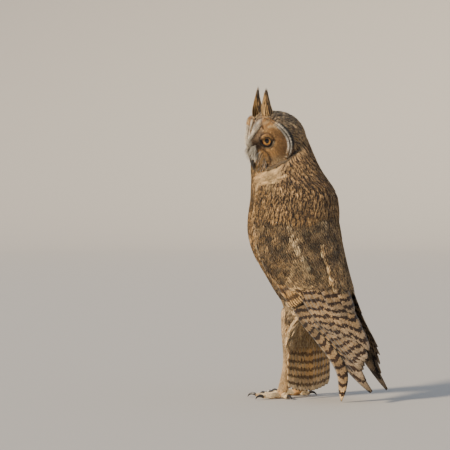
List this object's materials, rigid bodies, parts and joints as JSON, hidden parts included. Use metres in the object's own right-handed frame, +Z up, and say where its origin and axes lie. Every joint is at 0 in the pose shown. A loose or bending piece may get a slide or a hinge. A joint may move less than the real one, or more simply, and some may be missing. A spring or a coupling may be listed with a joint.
{
  "type": "long-eared owl",
  "caption": "Life-size still model of a long-eared owl standing tall with raised ear tufts, folded wings, hanging tail and its head turned to one side.",
  "frame": {"origin": "on the floor under the middle of the model's box", "axes": "+Z up, -Y the way the owl's body faces, +X its left side"},
  "size_m": [0.1174, 0.1914, 0.3868],
  "materials": {
    "breast": "soft golden buff feathers with dark streaks",
    "plumage": "soft mottled brown, buff and grey feathers",
    "wing": "barred and vermiculated grey brown feathers",
    "tail": "orange buff feathers with dark bars",
    "face": "fine tawny buff face feathers with white bristles",
    "tuft": "dark brown feathers edged with buff",
    "eye": "wet orange eye with a black pupil",
    "bill": "smooth dark horn",
    "leg": "short buff feathers down to the toes",
    "claw": "smooth black horn"
  },
  "bodies": {
    "root": {"back": "plumage", "bill_lower": "bill", "bill_upper": "bill", "claw_left_1": "claw", "claw_left_2": "claw", "claw_left_3": "claw", "claw_left_4": "claw", "claw_right_1": "claw", "claw_right_2": "claw", "claw_right_3": "claw", "claw_right_4": "claw", "ear_tuft_left": "tuft", "ear_tuft_right": "tuft", "eye_left": "eye", "eye_right": "eye", "facial_disc": "face", "foot_left": "leg", "foot_right": "leg", "head": "plumage", "neck": "plumage", "shank_left": "leg", "shank_right": "leg", "tail": "tail", "thigh_left": "leg", "thigh_right": "leg", "torso": "breast", "wing_left": "wing", "wing_right": "wing"}
  },
  "joints": []
}
